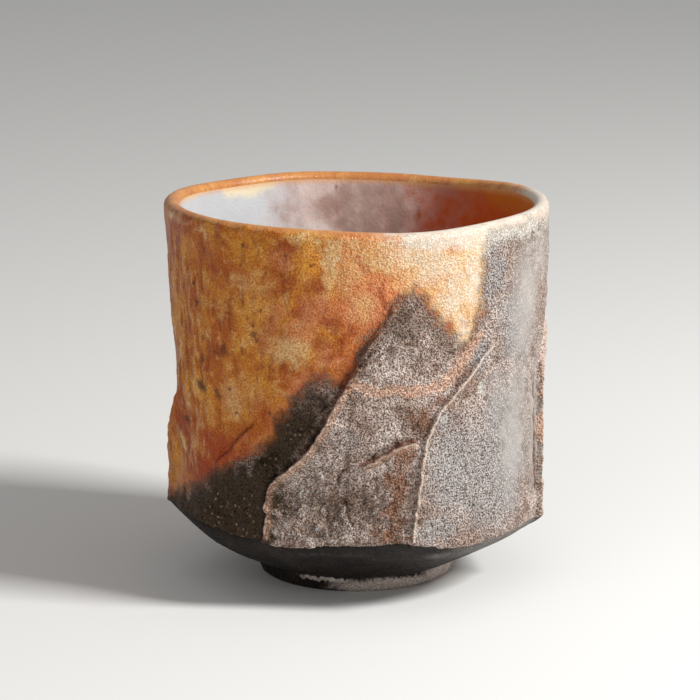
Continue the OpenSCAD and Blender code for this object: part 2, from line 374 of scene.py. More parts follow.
def wrap(obj, relief):
    """Takes a plain tube to the cup's real shape; relief moves its points in or out."""
    angle, r, z = turned(points_of(obj))
    count, station, deep = angle / 360 * len(FACETS), z / TUBE_STEP, R - r
    seam = ash_seam(count)
    h = np.where(station < 1, seam * np.clip(station, 0, 1),
                 mix(seam, 1, np.clip(station - 1, 0, 1)))
    angle = column_angle(count, h)
    outer, height = wall_r(count, h), wall_z(count, h)
    lip_turn = np.pi * np.clip(station - 2, 0, 1)
    curve_turn = np.pi / 2 * np.clip(station - 4, 0, 1)
    under_r, under_z = underside(count, station, angle)
    where, real_r, real_z = zip(
        (station < 0, under_r, under_z),
        (station <= 2, outer - deep, height),
        (station <= 3, outer - LIP_R + (LIP_R - deep) * np.cos(lip_turn),
         height + (LIP_R - deep) * np.sin(lip_turn)),
        (station <= 4, mix(outer - LIP_T, WELL_WALL_R, station - 3) + deep,
         mix(height, WELL_CURVE_Z, station - 3)),
        (station <= 5, WELL_WALL_R - WELL_R + (WELL_R + deep) * np.cos(curve_turn),
         WELL_CURVE_Z - (WELL_R + deep) * np.sin(curve_turn)),
        (station > 5, (WELL_WALL_R - WELL_R) * (6 - station), WELL_FLOOR_Z - deep))
    real_r, real_z = np.select(where, real_r), np.select(where, real_z)
    put_points(obj, round_axis(real_r + relief(angle, real_z, station, deep), angle, real_z))


# --- Relief: what the knife, the grit in the clay and the running glaze left ---
# Lines and patches are drawn on the wall as (angle, height).

ARC = math.radians(R)  # millimetres round the wall for one degree

# Where the glaze ends and the ash crust begins, round the cup, from the left side
BORDER = [
    (172, 17), (180, 17.5), (191.9, 19.3), (209.7, 24.3), (218.3, 27.7), (227.4, 31.2),
    (235.2, 34.3), (241.2, 36.4), (244.5, 38.9), (245.8, 41.8), (250.2, 46.4), (254.2, 49.9),
    (257.8, 51.8), (262.2, 51.9), (266.5, 50.7), (268.5, 54.1), (270.8, 58.4), (274.3, 62),
    (278.9, 66.9), (283, 69.7), (286.8, 71.3), (289.9, 69), (293.4, 65.6), (297.9, 62.1),
    (302, 59.6), (305.2, 58.2), (306.6, 62.3), (309.6, 66), (308.4, 69.5), (311, 74), (309.6, 78.4),
    (313, 82), (330, 82.5), (350, 82), (372, 81), (388, 76), (400, 70), (415, 64), (432, 58),
    (446, 60), (456, 52), (470, 40), (485, 36), (498, 28), (515, 22), (532, 17),
]
BORDER_SPLIT = len(BORDER) // 2 + 8
# Lips of clay torn up by the wire: line, height, how far the soft side reaches, and how pale
# the edge is, painted as pale clay with a highlight along it
TORN = [
    ([(219.3, 29.7), (223.1, 31.8), (226.7, 33.8), (230, 36.2), (232.7, 38.1), (238.6, 41.5)],
     0.6, 2.0, 0.2),
    ([(271.2, 32.7), (273, 33.9), (275.3, 34.3), (277.6, 35.7), (279.8, 36.3), (282.8, 37.7),
      (286.8, 38.1), (289.6, 38.5)], 0.95, 0.8, 1),
    ([(269.4, 56), (274, 60), (278.2, 63.9), (281.2, 69.2)], 0.3, 1.6, 0.35),
    ([(243.2, 28.7), (244.5, 29.9), (246.8, 31), (250.7, 31.7)], 0.35, 1.2, 0.4),
    ([(382, 30), (388, 34), (393, 39), (401, 43)], 0.6, 1.6, 0.6),
    ([(436, 24), (441, 29), (449, 33), (455, 39)], 0.5, 1.4, 0.6),
    ([(495, 46), (500, 50), (507, 53)], 0.45, 1.6, 0.2),
]
# Cracks and grooves: line, depth, half width
GROOVES = [
    ([(255.8, 42.2), (258.5, 44.5), (261.8, 46.8)], 0.3, 0.5),
    ([(267.9, 33.2), (265.9, 32.1), (264.1, 30.7), (264.4, 29.4), (263.2, 28.3)], 0.4, 0.5),
    ([(265, 26.6), (265.9, 25.7), (266.8, 24.7), (267.1, 22), (268.2, 20.5), (269.4, 19.2)],
     0.35, 0.6),
    ([(340.6, 49.7), (342.3, 41.2), (342.9, 32), (343.8, 18.2)], 0.4, 0.8),
    ([(412, 52), (415, 47), (421, 43)], 0.35, 0.6),
    ([(474, 26), (470, 22), (468, 18)], 0.35, 0.6),
]
# Swells, lumps and dents: angle, height, half width and half height in millimetres, rise
LUMPS = [
    (193, 53, 8, 9, 0.4), (187, 27, 2.4, 3.4, 0.9), (343.5, 57, 2.2, 2.6, 0.8),
    (342, 72, 9, 12, -0.3), (247, 31.6, 0.9, 0.9, 0.45), (273.3, 27.5, 1.1, 1, 0.5),
    (264, 26, 1.2, 0.9, 0.3), (252, 22.5, 1.4, 1, 0.3), (258, 19.5, 1.6, 0.9, 0.35),
    (276, 22, 1.2, 1, 0.25), (214.9, 46, 1.1, 1.2, -0.35), (300, 47, 3.4, 2.2, -0.3),
    (311, 55, 3, 2, -0.3), (231, 58, 5, 9, 0.25), (420, 62, 8, 10, 0.4), (460, 30, 7, 6, -0.4),
    (500, 66, 7, 9, 0.4), (390, 24, 2, 1.6, 0.4), (184, 24, 10, 8, -0.4), (183, 48, 8, 6, -0.3),
]


def apart(angle, middle):
    """Millimetres round the wall from a middle angle, + to its right."""
    return ((angle - middle + 180) % 360 - 180) * ARC


def along(angle, z, line):
    """Distance from a drawn line, + on the right going up it, and the place along it."""
    middle = line[len(line) // 2][0]
    x = apart(angle, middle)
    points = [(apart(a, middle), up) for a, up in line]
    lengths = [math.dist(p, q) for p, q in zip(points, points[1:])]
    nearest, signed, place = np.full(len(x), np.inf), np.zeros(len(x)), np.zeros(len(x))
    gone = 0
    for (x0, z0), (x1, z1), length in zip(points, points[1:], lengths):
        dx, dz = (x1 - x0) / length, (z1 - z0) / length
        t = np.clip((x - x0) * dx + (z - z0) * dz, 0, length)
        off_x, off_z = x - x0 - t * dx, z - z0 - t * dz
        distance = np.hypot(off_x, off_z)
        near = distance < nearest
        nearest = np.where(near, distance, nearest)
        signed = np.where(near, np.where(off_x * dz < off_z * dx, -distance, distance), signed)
        place = np.where(near, (gone + t) / sum(lengths), place)
        gone += length
    return signed, place


def cloud(angle, z, wide, tall, salt):
    """Soft uneven values round the wall, mostly -0.6 to 0.6; sizes are in millimetres."""
    a = np.radians(angle)
    spots = np.stack([R * np.cos(a) / wide, R * np.sin(a) / wide, z / tall + salt * 17.3], axis=1)
    return np.array([noise.noise(spot) for spot in spots.tolist()])


def inside_ash(angle, z):
    """Millimetres inside the ash crust's border, drawn as two lines; minus on the glaze."""
    lines = (BORDER[:BORDER_SPLIT], BORDER[BORDER_SPLIT - 1:])
    distance = np.minimum(*(np.abs(along(angle, z, line)[0]) for line in lines))
    border_z = lookup((angle - BORDER[0][0]) % 360 + BORDER[0][0], BORDER)
    return np.where(border_z > z, distance, -distance)


def ends_fade(place):
    return soft(place / 0.12) * soft((1 - place) / 0.15)


def patches(angle, z, marks, hardness=0.15):
    """Soft patches: each angle, height, half width and half height (mm), and strength."""
    out = np.zeros(len(z))
    for middle, up, wide, tall, strength in marks:
        d = np.hypot(apart(angle, middle) / wide, (z - up) / tall)
        out = np.maximum(out, strength * (1 - soft((d - hardness) / 1.15)))
    return out


RUNS_FROM, RUNS_TO = 178, 226  # the angles where the glaze ran down in narrow tears


def runs(angle, z):
    """Narrow tears of glaze down the left wall, + where it is thick."""
    turn = (angle - 150) % 360 + 150
    where = soft((turn - RUNS_FROM + 25) / 20) * soft((RUNS_TO - turn) / 16)
    where = where * soft((z - 20) / 12) * soft((79 - z) / 8)
    streaks = cloud(angle + 0.15 * z, z, 1.4, 5, 3) + 0.6 * cloud(angle, z, 0.8, 2.2, 4)
    return where * streaks


CRUMB_RISE, CRUMB_FILL = 0.8, 6  # how far crumbs stand out, and how soon they do so fully
LIP_STEEP = 0.45  # width of a torn lip's steep side
HOLLOW_LEFT, HOLLOW_W, HOLLOW_DEPTH = 0.85, 0.5, 0.6  # the hollow left of a torn lip
SCAR_FLOOR = 0.12  # how much of a coat is left behind the deepest scar
GRITTY = [
    (256, 22, 10, 10, 1), (262, 30, 6, 6, 0.7), (275, 24, 6, 8, 0.7), (288, 20, 8, 5, 0.5),
    (226, 19, 14, 8, 0.5), (243, 30, 4, 7, 0.5), (252, 41, 4, 5, 0.4), (400, 26, 16, 9, 0.8),
    (470, 24, 10, 8, 0.6),
]


def crumbs(angle, z):
    """Where crumbs of grit and ash lie thick on the wall."""
    grit = np.clip(cloud(angle - 0.8 * z, z, 1.2, 1.4, 7) - 0.12, 0, 1)
    return grit * patches(angle, z, GRITTY)


# Every relief takes each point's angle, height, station and depth, and uses what it needs


def at_surface(deep):
    """1 on the finished side of a piece, and 0 on its hidden back."""
    return np.where(deep < COAT_T / 2, 1, 0)


def wall_relief(angle, z, station, deep):
    """How far the outside of the coats stands out from the plain cut wall."""
    ash_here = soft(inside_ash(angle, z) / 2)
    broken = 1 + 1.1 * cloud(angle, z, 1.8, 1.8, 5)
    wobble = cloud(angle, z, 1.6, 1.6, 10)
    out = 0.55 * cloud(angle, z, 13, 16, 1)
    out += mix(0.2, 0.4, ash_here) * cloud(angle, z, 4.5, 5, 2)
    out += mix(0.07, 0.3, ash_here) * cloud(angle, z, 1.5, 1.7, 6)
    out += 0.28 * runs(angle, z)
    for line, rise, reach, _ in TORN:
        offset, place = along(angle, z, line)
        offset = offset + 0.8 * wobble
        lip = np.where(offset < 0, 1 - soft(-offset / LIP_STEEP), hump(offset, reach))
        hollow = HOLLOW_DEPTH * hump(offset + HOLLOW_LEFT, HOLLOW_W)
        out += rise * broken * ends_fade(place) * (lip - hollow)
    for line, depth, wide in GROOVES:
        offset, place = along(angle, z, line)
        out -= depth * broken * ends_fade(place) * hump(offset, wide)
    for middle, up, wide, tall, rise in LUMPS:
        out += rise * np.exp(-(apart(angle, middle) / wide) ** 2 - ((z - up) / tall) ** 2)
    out += CRUMB_RISE * (1 - np.exp(-CRUMB_FILL * crumbs(angle, z))) * ash_here
    room = np.interp(station, [0, DEEP_FROM, DEEP_TO, 2], [COAT_T, SKIN_T, SKIN_T, COAT_T])
    out = np.maximum(out, SCAR_FLOOR - room)
    return out * np.clip(3 - station, 0, 1) * at_surface(deep)


BULGE_ANGLE, BULGE_W, BULGE_RISE = 214, 22, 3.0


def trimmed_relief(angle, z, station, deep):
    """The knife's marks on the cut underside, which bulges at BULGE_ANGLE."""
    share = np.clip(station + 1, 0, 1)
    bulge = BULGE_RISE * hump(apart(angle, BULGE_ANGLE), BULGE_W) + 0.25
    chatter = 0.16 * cloud(angle, z, 7, 1.2, 8) + 0.1 * cloud(angle, z, 1.6, 1.6, 9)
    return np.where((station > -1) & (station < 0), np.sin(np.pi * share) * (bulge + chatter), 0)


LINER_LUMPS = [(81, 80, 1.3, 1.4, 1), (64, 81, 1.2, 1.2, 1), (67, 74, 1, 1, 1)]


def liner_relief(angle, z, station, deep):
    """The soft unevenness of the wall inside; a lump stands inwards, which is minus."""
    lumps = patches(angle, z, LINER_LUMPS)
    out = 0.5 * cloud(angle, z, 9, 14, 11) + 0.12 * cloud(angle, z, 2.5, 2.5, 12) - 0.35 * lumps
    where = soft((station - 3) / 0.15) * soft((5 - station) / 0.3)
    return np.minimum(out, COAT_T - SCAR_FLOOR) * where * at_surface(deep)


# --- Painted marks: where the fire and the ash left each colour ---
# Each patch is (angle, height, half width, half height, strength), in degrees and millimetres.

POOLS = [  # pale, where the glaze lies thick
    (262, 77.4, 2.5, 7, 1), (264, 81.1, 4, 2, 0.8), (255, 82.7, 5, 1, 0.9), (251, 57.6, 5, 4.5, 1),
    (217, 82.1, 3, 1.3, 0.8), (199, 82.9, 2.1, 1.1, 0.8), (229, 44.9, 5, 5, 0.6),
    (236, 72.9, 4.3, 2.7, 0.45), (203, 54.1, 1.4, 3, 0.9), (199, 31.7, 2, 2.4, 1),
    (207, 41.4, 1.2, 3, 0.8), (244, 58.9, 3.5, 3.1, 0.5), (278, 77.4, 5, 3.6, 0.75),
    (285, 72.3, 2.8, 3.1, 0.7), (287, 77.5, 8, 6, 1), (276, 80, 9, 3, 0.7), (272, 68, 3, 5, 0.6),
    (306, 73, 5, 12, 1), (309, 80, 5, 6, 1), (293, 71, 5, 4, 0.8), (268, 76, 4, 6, 0.5),
    (238, 71, 8, 6, 0.35), (243, 60, 7, 8, 0.3), (235, 48, 6, 6, 0.35), (266, 72, 2.2, 3.1, 0.5),
    (300, 68.3, 4.1, 8, 1), (295, 76.8, 8.3, 4, 0.9), (303, 60.5, 2.1, 3.6, 1),
    (400, 76, 8, 4, 0.8), (426, 70, 4, 8, 0.9), (452, 74, 5, 6, 0.8), (470, 60, 6, 6, 0.8),
    (488, 72, 4, 9, 0.9), (506, 48, 5, 6, 0.8), (520, 70, 5, 8, 0.7), (526, 34, 4, 5, 0.6),
    (296, 67.5, 3, 5, 0.9), (300, 62.5, 2.5, 4, 1), (305, 63, 1.6, 5, 1), (309, 70, 1.8, 9, 1),
]
SCORCHES = [  # red-brown, where the glaze is thin and the clay's iron burns through
    (250, 80.2, 5, 3, 0.8), (258, 72.4, 1.8, 4, 0.9), (253, 66.9, 4, 3, 0.8),
    (262, 64.6, 4.5, 3.6, 0.9), (260, 59.4, 4.1, 2.7, 0.8), (266, 59.8, 3.1, 3.5, 0.9),
    (225, 82.1, 2.2, 2.7, 0.8), (228, 79.8, 2.4, 1.6, 0.7), (243, 74.5, 1.2, 1.1, 0.8),
    (273, 77.5, 2.7, 2.2, 0.9), (277, 69.4, 1.1, 4.4, 0.8), (223, 73.2, 1.6, 2.4, 0.7),
    (208, 68.3, 2.3, 1.8, 0.7), (218, 68.7, 1.5, 1.3, 0.6), (231, 62.8, 1.7, 1.6, 0.5),
    (241, 65.8, 1.5, 2.2, 0.5), (232, 50.9, 2.5, 1.1, 0.6), (269, 63, 1.8, 3.1, 0.7),
    (244, 69.4, 3, 2, 0.4), (412, 78, 6, 3, 0.8), (438, 66, 4, 6, 0.8), (461, 68, 4, 5, 0.7),
    (480, 50, 4, 5, 0.8), (497, 60, 3, 6, 0.8), (514, 60, 3, 5, 0.7), (518, 30, 4, 4, 0.8),
    (532, 52, 3, 8, 0.6),
]
SPOTS = [  # dark brown iron spots
    (214, 65, 1.2, 1.6, 0.9), (239, 60.2, 0.8, 1.8, 0.9), (227, 56.7, 0.9, 2, 1),
    (216, 53, 1.1, 1.6, 1), (217, 57.7, 1.1, 1.3, 0.8), (215, 46.9, 2.3, 1.8, 1),
    (223, 45.7, 1, 2.2, 0.9), (245, 53.1, 0.7, 0.7, 0.7), (240, 53.8, 0.8, 0.7, 0.6),
    (203, 37.7, 1.4, 1.1, 0.9), (248, 80.8, 0.7, 0.6, 0.8), (226, 55.7, 0.8, 1.3, 0.6),
    (234, 57, 0.8, 1.3, 0.5), (445, 70, 1, 1.4, 0.9), (484, 62, 1, 1.8, 0.9),
    (502, 55, 1.2, 1.4, 1), (527, 46, 1.2, 1.8, 0.9),
]
PINHOLES = [
    (218.7, 77.2), (256.8, 76.6), (238.2, 62.8), (213.4, 69.5), (227.6, 47.6), (222.8, 55.4),
    (243, 43.9), (249.1, 78.5), (241, 66.1), (308.2, 22.5), (229.8, 42.6), (235.2, 79.7),
    (420, 74), (458, 64), (478, 67), (492, 52), (511, 66), (524, 58),
]
ROSY = [  # pinkish, where the glaze is mottled over the clay
    (258, 66, 6, 5, 1), (268, 69, 5, 8, 0.9), (274, 77, 5, 4, 0.9), (281, 75, 4, 5, 0.5),
    (277, 74, 17, 17, 0.9), (276, 68, 4, 6, 1), (281, 71, 3, 4, 1),
    (254, 62, 5, 4, 0.8), (246, 66, 4, 4, 0.6), (262, 57, 5, 3, 0.8), (252, 51, 4, 3, 0.6),
    (248, 78, 5, 3, 0.6), (420, 72, 9, 7, 0.8), (466, 56, 9, 8, 0.8), (490, 46, 6, 6, 0.6),
]
BLUSH = [  # peach, where the glaze fumed the ash
    (269, 52.3, 1.8, 2.2, 0.5), (283, 52.9, 7, 1.8, 0.3), (347, 33, 1.4, 20, 0.85),
    (404, 60, 6, 2, 0.8), (448, 48, 5, 2, 0.8), (302, 55, 4, 4, 0.7),
]
PEACH_BAND = [(268.5, 52), (273, 49.9), (281, 49.4), (290, 49.2), (296, 49.8), (301, 52.6),
              (306, 56.6), (309.5, 60)]
PEACH_BAND_W = 1.3
SOOT = [  # dark, where little ash landed, and in one place painted shade
    (284, 62.8, 6, 8.9, 0.32), (289, 55, 4.7, 4.9, 0.2), (259, 47.8, 4.1, 3.6, 0.5),
    (252, 42, 8, 9, 0.6), (204, 16, 12, 6, 1), (216, 19, 12, 7, 1), (230, 17, 10, 7, 1),
    (239, 20, 5, 9, 1), (246, 37, 6, 7, 0.75), (233, 25.1, 15.4, 6.2, 1),
    (241, 31.4, 6.6, 4.4, 0.8), (220, 19.5, 11, 3.4, 1), (247, 35.2, 3.4, 4.4, 0.7),
    (200, 17.5, 12, 2.6, 1), (468, 26, 9, 7, 0.8), (500, 22, 12, 4, 1), (430, 40, 5, 9, 0.5),
    # The last patch below, at 286 degrees and 42 mm, is painted shade in the hollow left of the
    # second ridge
    (385, 20, 12, 3, 0.5), (266, 22, 11, 9, 0.25), (191, 17, 8, 3, 0.9), (286, 42, 4, 5, 0.3),
]
# Rust-brown; the patch at 288 degrees and 42 mm also darkens the hollow left of the second ridge as
# painted shade
RUST = [
    (282, 26, 3.2, 11, 0.9), (284, 35.7, 2.3, 4.4, 0.9), (280, 17.2, 6, 1.4, 0.9),
    (266, 25.1, 0.7, 1.1, 1), (288, 42, 3.5, 5, 0.8), (296, 46.6, 2.6, 1.6, 0.7),
    (317, 77.5, 6.5, 2.2, 0.3), (418, 34, 3, 8, 0.7), (394, 50, 4, 5, 0.5),
]
SILVER = [  # pale mineral grain, where the ash lies thick
    (300, 31.3, 9, 14, 1), (318, 30, 16, 18, 1), (295, 18.5, 7.4, 3.6, 0.9),
    (314, 23.1, 12, 9, 0.8), (320, 40, 10, 13, 0.8), (325, 61.4, 9, 13, 0.8), (314, 74, 5, 9, 0.9),
    (309, 56, 4, 5, 1), (266, 39.3, 6, 5, 0.4), (297, 42.6, 4, 4.9, 0.7), (272, 51.6, 2.2, 1.5, 1),
    (365, 45, 12, 22, 0.8), (405, 40, 8, 10, 0.7), (440, 44, 5, 6, 0.5),
]
CALM = [  # where the ash melted smooth
    (327, 37, 9, 22, 1), (332, 65, 11, 20, 1), (319, 44.7, 5.3, 9, 0.7), (345, 74.3, 15, 9, 0.8),
    (362, 60, 10, 18, 0.8), (341, 36, 5, 22, 0.9),
]
CREAM = [  # white, and paler yet where it ran down
    (299, 70, 5, 10, 0.7), (302, 62, 3, 5, 0.7), (287, 79, 9, 5, 0.6), (294, 76, 9, 6, 0.65),
    (306, 73, 4, 12, 0.75), (309, 80, 5, 5, 0.8), (310.6, 48, 2.2, 2.4, 0.9),
    (262, 79, 3, 5, 0.2), (202, 82.5, 6, 1.5, 0.35), (380, 82, 6, 2, 0.6),
]
WHITE_FROM, WHITE_TO = 268, 396  # the angles between which white glaze covers the lip
DEEP = [  # deep orange, on the side that the flame came from
    (184, 60, 9, 34, 0.9), (200, 36, 12, 9, 0.8), (222, 34, 10, 6, 1), (210, 28, 12, 5, 1),
    (232, 38, 5, 4, 0.7), (205, 81, 12, 4, 0.7), (214, 66, 5, 9, 0.5), (240, 44, 4, 5, 0.6),
    (500, 40, 14, 12, 0.7), (530, 60, 14, 24, 0.8), (470, 80, 16, 4, 0.6),
]
PINHOLE_R = 0.38
TORN_HALF_W = 0.25  # half the width of a torn lip's steep side, as it is painted
RIDGE_SHADE_W, TORN_SHADE_W = 0.7, 0.4  # width of the painted shade left of a ridge, and of a lip
# The share of the wall's height that each ridge's colours reach, how dark the painted shade
# on its torn side is, how pale its crest, painted as pale clay with a highlight along it, and
# how warm the clay beside it
RIDGE_LOOKS = [
    (0.62, 0.6, 0.7, 0.8), (0.68, 0.25, 1, 0.15), (0.68, 0, 0.8, 0.4), (0.6, 0.7, 0.5, 0.4),
    (0.56, 0.8, 0.7, 0.5), (0.42, 0.6, 0.4, 0.3),
]


def ridge_line(k):
    """A torn ridge as drawn on the wall."""
    h = np.linspace(0, RIDGE_LOOKS[k][0], 40)
    middle = ridge_angle(np.full(len(h), k), h)
    bottom, top = shoulder_z(middle[0]), rim_z(middle[-1]) - LIP_R
    return list(zip(middle.tolist(), mix(bottom, top, h).tolist()))


# Every set of marks takes angles, heights and radii; only the wall's needs the radii


def wall_marks(angle, z, r):
    """The painted marks on the outside of the coats."""
    wander = 2.2 * cloud(angle, z, 3.2, 3.2, 21) + 0.9 * cloud(angle, z, 1.2, 1.2, 22)
    climb = 2.4 * cloud(angle, z, 3.2, 3.2, 23) + 0.9 * cloud(angle, z, 1.2, 1.2, 24)
    bent, raised = angle + wander / ARC, z + climb
    crest, glow, cliff, crevice_shade = np.zeros((4, len(z)))  # painted: pale lip and highlight, warm clay, shade, shade in crack
    drawn = [(ridge_line(k), CLIFF_W / 2, RIDGE_SHADE_W, *RIDGE_LOOKS[k][1:])
             for k in range(len(FACETS))]
    drawn += [(line, TORN_HALF_W, TORN_SHADE_W, min(0.7, rise), pale, 0.8 * pale)
              for line, rise, _, pale in TORN]
    for line, half, shade_w, dark, pale, warm in drawn:
        offset, place = along(angle, z, line)
        there = soft(place / 0.03) * soft((1 - place) / 0.12)
        # crest: pale torn clay with a painted highlight; cliff: painted shade on the torn side; and
        # painted shade in the crack beside it
        crest = np.maximum(crest, pale * there * hump(offset - half - 0.1, 0.36))
        glow = np.maximum(glow, warm * there * hump(offset - half - 0.6, 0.8))
        cliff = np.maximum(cliff, dark * there * hump(offset + 0.2, half + 0.3))
        crevice_shade = np.maximum(
            crevice_shade, dark * there * hump(offset + half + shade_w / 2, shade_w))
    band, _ = along(angle, z * 0.6 + raised * 0.4, PEACH_BAND)
    # Grooves and cracks are darkened too, as painted shade
    for line, depth, wide in GROOVES:
        offset, place = along(angle, z, line)
        crevice_shade = np.maximum(crevice_shade, 2 * depth * ends_fade(place) * hump(offset, wide))
    streaks = runs(angle, z)
    rim = rim_z(angle)
    turn = (angle - 200) % 360 + 200 + 3 * wander
    white = soft((turn - WHITE_FROM) / 24) * soft((WHITE_TO - turn) / 30)
    white = white * (1 - soft((rim - z - 2 + 0.6 * climb) / 5))
    lip_inside = soft((R - LIP_R - r) / 0.8 + 0.5) * (z > rim - LIP_R - 0.8)
    return {
        "ash": inside_ash(bent * 0.4 + angle * 0.6, z * 0.6 + raised * 0.4),
        "pool": np.maximum(patches(bent, raised, POOLS), 0.45 * soft(streaks * 2)),
        "scorch": np.maximum(patches(bent, raised, SCORCHES), 0.7 * soft(-streaks * 2)),
        "deep": patches(bent, raised, DEEP),
        "spot": np.maximum(patches(bent, z, SPOTS), patches(
            angle, z, [(a, up, PINHOLE_R, PINHOLE_R, 1) for a, up in PINHOLES], 0.6)),
        "rosy": patches(bent, raised, ROSY),
        "blush": np.maximum(np.maximum(patches(bent, raised, BLUSH), glow),
                            hump(band, PEACH_BAND_W)),
        "crumbs": patches(bent, raised, GRITTY),
        "soot": 1.4 * patches(bent, raised, SOOT),
        "rust": patches(bent, raised, RUST),
        # Paler on the grit lumps too, as a painted highlight on their tops
        "silver": np.maximum(patches(bent, raised, SILVER), 2.5 * crumbs(angle, z)),
        "calm": patches(bent, raised, CALM),
        "cream": np.maximum(patches(bent, z * 0.6 + raised * 0.4, CREAM), white),
        "lip": np.maximum(soft((z - rim + 1.2 + 0.3 * climb) / 0.9), lip_inside),
        "crest": crest,
        "cliff": cliff,
        "crevice_shade": crevice_shade,
    }


LINER_PATCHES = {
    "blaze": [(20, 60, 48, 70, 1), (330, 60, 40, 70, 1), (60, 40, 7, 14, 0.6),
              (62, 76, 6, 6, 0.5)],
    "amber": [(24, 83, 30, 7, 1), (345, 83, 26, 6, 0.8)],
    "pale": [(158, 60, 44, 70, 1), (205, 60, 26, 60, 0.8), (118, 78, 10, 6, 0.5)],
    "cream": [(131, 82, 9, 3.5, 1), (160, 83, 12, 2, 0.8)],
    "spot": [(99, 79, 1.4, 1.2, 0.9), (66, 73.5, 2.2, 1.6, 0.7), (88, 70, 1, 1, 0.5),
             (75, 66, 1.6, 1.2, 0.5), (112, 60, 1, 1.4, 0.5), (240, 50, 1.5, 1.5, 0.6)],
}


def liner_marks(angle, z, r):
    """The painted marks on the glaze inside."""
    bent = angle + (5 * cloud(angle, z, 7, 9, 31) + 2 * cloud(angle, z, 2, 2, 32)) / ARC
    marks = {name: patches(bent, z, rows) for name, rows in LINER_PATCHES.items()}
    return {**marks, "lip": soft((z - rim_z(angle) + 3.6) / 3)}


PALER_GREY = [(330, 12, 28, 4, 1), (298, 12, 8, 1.6, 0.6), (20, 11, 14, 5, 0.6),
          (262, 12.5, 16, 1.4, 0.3)]
WORN = [(288, 1.2, 28, 2.2, 1.2), (252, 2.8, 14, 0.7, 1.2), (338, 1.8, 26, 3.4, 1.2),
        (60, 1.4, 16, 1.6, 0.8), (120, 1, 12, 1, 0.8), (170, 0.8, 16, 0.8, 0.6)]


def clay_marks(angle, z, r):
    """The marks on the bare clay: paler grey, most on its right side, and the worn foot."""
    bent = angle + 3 * cloud(angle, z, 5, 5, 41) / ARC
    raised = z + 0.6 * cloud(angle, z, 1.4, 1.4, 42)
    return {"paler_grey": patches(bent, z, PALER_GREY), "worn": patches(bent, raised, WORN)}


def paint(obj, marks):
    """Stores painted marks, by name, on the points of a piece, for its material to read."""
    points = points_of(obj) - (*AXIS, 0)
    angle = np.degrees(np.arctan2(points[:, 1], points[:, 0])) % 360
    r = np.hypot(points[:, 0], points[:, 1])
    for name, values in marks(angle, points[:, 2], r).items():
        layer = obj.data.attributes.new(name, "FLOAT", "POINT")
        layer.data.foreach_set("value", values.astype(np.float32))


# --- Materials ---


def linear(code):
    """An sRGB hex colour as linear red, green, blue and alpha."""
    parts = [int(code[k:k + 2], 16) / 255 for k in (1, 3, 5)]
    return [p / 12.92 if p <= 0.04045 else ((p + 0.055) / 1.055) ** 2.4 for p in parts] + [1]


def add(tree, kind, inputs, **settings):
    """Adds a node with its settings; each input takes a value, or the node that feeds it."""
    made = tree.nodes.new("ShaderNode" + kind)
    for name, value in settings.items():
        setattr(made, name, value)
    for name, value in inputs.items():
        socket = made.inputs[name] if isinstance(name, int) else next(
            s for s in made.inputs if s.enabled and s.name == name)
        if isinstance(value, bpy.types.Node):
            value = next(s for s in value.outputs if s.enabled)
        if isinstance(value, bpy.types.NodeSocket):
            tree.links.new(value, socket)
        else:
            socket.default_value = value
    return made


SKIN_SPECULAR = 0.25  # how strongly the fired skins mirror light


def start_material(name, roughness, ior=1.5, specular=SKIN_SPECULAR):
    """A material with its own Principled shader, and the piece's Object coordinates."""
    material = bpy.data.materials.new(name)
    material.use_nodes = True
    tree = material.node_tree
    shader = tree.nodes["Principled BSDF"]
    shader.inputs["Roughness"].default_value = roughness
    shader.inputs["IOR"].default_value = ior
    shader.inputs["Specular IOR Level"].default_value = specular
    where = add(tree, "TexCoord", {})
    return material, tree, shader, where.outputs["Object"]


def finish_material(tree, shader, colour, rough, height, depth):
    """Gives the shader its colour, its roughness, and bumps of a depth in millimetres."""
    bumps = add(tree, "Bump", {"Strength": 1.0, "Distance": depth * MM, "Height": height})
    tree.links.new(colour.outputs[2], shader.inputs["Base Color"])
    tree.links.new(rough.outputs[0], shader.inputs["Roughness"])
    tree.links.new(bumps.outputs[0], shader.inputs["Normal"])


def uneven(tree, where, size, detail=3.0, stretch=1.0, roughness=0.55):
    """Cloudy values around 0.5; size is in millimetres, stretch makes them taller."""
    place = add(tree, "Mapping", {"Vector": where, "Scale": (1, 1, 1 / stretch)})
    return add(tree, "TexNoise", {"Vector": place, "Scale": 1000 / size, "Detail": detail,
                                  "Roughness": roughness})


def step(tree, value, low, high, to_low=0.0, to_high=1.0):
    """A soft step of a value between two levels."""
    return add(tree, "MapRange", {"Value": value, "From Min": low, "From Max": high,
                                  "To Min": to_low, "To Max": to_high},
               interpolation_type="SMOOTHSTEP")


def maths(tree, operation, *values):
    return add(tree, "Math", dict(enumerate(values)), operation=operation)


def times(tree, value, by):
    return maths(tree, "MULTIPLY", value, by)


def painted(tree, name):
    return add(tree, "Attribute", {}, attribute_name=name).outputs["Fac"]


def lay(tree, under, over, share, blend="MIX"):
    """Lays one colour over another; a colour is a hex code or a node."""
    colours = {"A": under, "B": over}
    inputs = {slot: linear(c) if isinstance(c, str) else c for slot, c in colours.items()}
    return add(tree, "Mix", {"Factor": share, **inputs}, data_type="RGBA", blend_type=blend)


def ragged(tree, name, clouds, spread, low=0.12, high=0.85):
    """A painted mark with its edge broken up by one or two clouds."""
    broken = painted(tree, name)
    for cloudy in clouds:
        broken = maths(tree, "MULTIPLY_ADD", cloudy, spread, broken)
    return step(tree, maths(tree, "SUBTRACT", broken, spread * len(clouds) / 2), low, high)


def lay_marks(tree, skin, colours, clouds, *levels):
    """Lays the colour of each painted mark over a skin."""
    for mark, colour, spread, cover in colours:
        share = times(tree, ragged(tree, mark, clouds, spread, *levels), cover)
        skin = lay(tree, skin, colour, share)
    return skin


